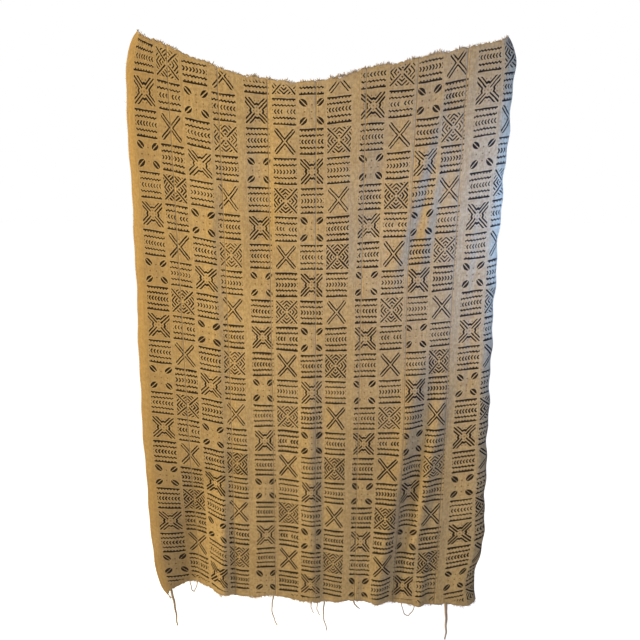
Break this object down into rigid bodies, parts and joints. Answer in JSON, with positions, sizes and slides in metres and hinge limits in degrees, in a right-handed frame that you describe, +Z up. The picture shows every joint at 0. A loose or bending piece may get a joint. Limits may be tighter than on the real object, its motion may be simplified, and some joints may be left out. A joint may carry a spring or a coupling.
{
  "type": "bogolan mud cloth",
  "caption": "Rectangular hand-woven cotton cloth of narrow sewn strips, hung by its top corners, with a dark hand-painted pattern on tan and ravelled threads at the hem.",
  "frame": {"origin": "middle of the cloth's top edge, where the edge sags lowest between the two held corners", "axes": "+Z up along the hanging warp, -Y out of the painted face, +X to the right seen from the front"},
  "size_m": [1.0798, 0.0573, 1.8999],
  "materials": {
    "cloth": "matt hand-spun cotton, dyed tan",
    "thread": "matt loose cotton yarn"
  },
  "bodies": {
    "root": {"woven_strip_1": "cloth", "woven_strip_2": "cloth", "woven_strip_3": "cloth", "woven_strip_4": "cloth", "woven_strip_5": "cloth", "woven_strip_6": "cloth", "woven_strip_7": "cloth", "woven_strip_8": "cloth", "ravelled_hem_1": "thread", "ravelled_hem_3": "thread", "ravelled_hem_4": "thread", "ravelled_hem_5": "thread", "ravelled_hem_7": "thread", "ravelled_hem_8": "thread"}
  },
  "joints": []
}
